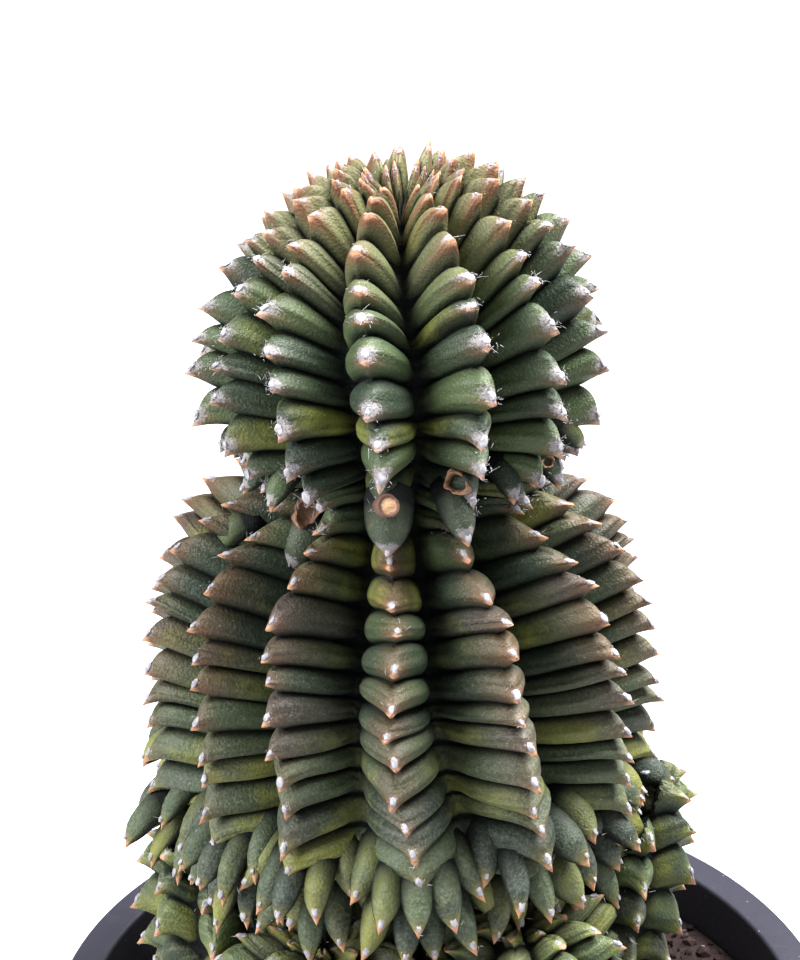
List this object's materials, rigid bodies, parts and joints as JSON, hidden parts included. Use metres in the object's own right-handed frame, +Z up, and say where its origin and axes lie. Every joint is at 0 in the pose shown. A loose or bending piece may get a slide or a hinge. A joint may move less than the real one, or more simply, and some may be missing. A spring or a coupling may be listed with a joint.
{
  "type": "potted plaid cactus",
  "caption": "Ribbed plaid cactus with a round head on a broader body, ringed by offsets, standing in soil in a round black plastic growing pot.",
  "frame": {"origin": "centre of the underside of the pot, on the surface that it stands on", "axes": "+Z up through the plant, +X to the right and -Y towards the viewer of the reference picture"},
  "size_m": [0.12, 0.12, 0.2426],
  "materials": {
    "stem_skin": "semi-gloss finely stippled plant skin, green with brown and purple shading, orange tips and white wool",
    "offset_skin": "semi-gloss plant skin, brighter green with yellow to orange tips",
    "pot_plastic": "black moulded plastic with a soft sheen and dust",
    "soil_grains": "loose dark reddish-brown gritty soil"
  },
  "bodies": {
    "root": {"pot": "pot_plastic", "soil": "soil_grains", "main_stem": "stem_skin", "offset_1": "offset_skin", "offset_2": "offset_skin", "offset_3": "offset_skin", "offset_4": "offset_skin", "offset_5": "offset_skin", "offset_6": "offset_skin"}
  },
  "joints": []
}
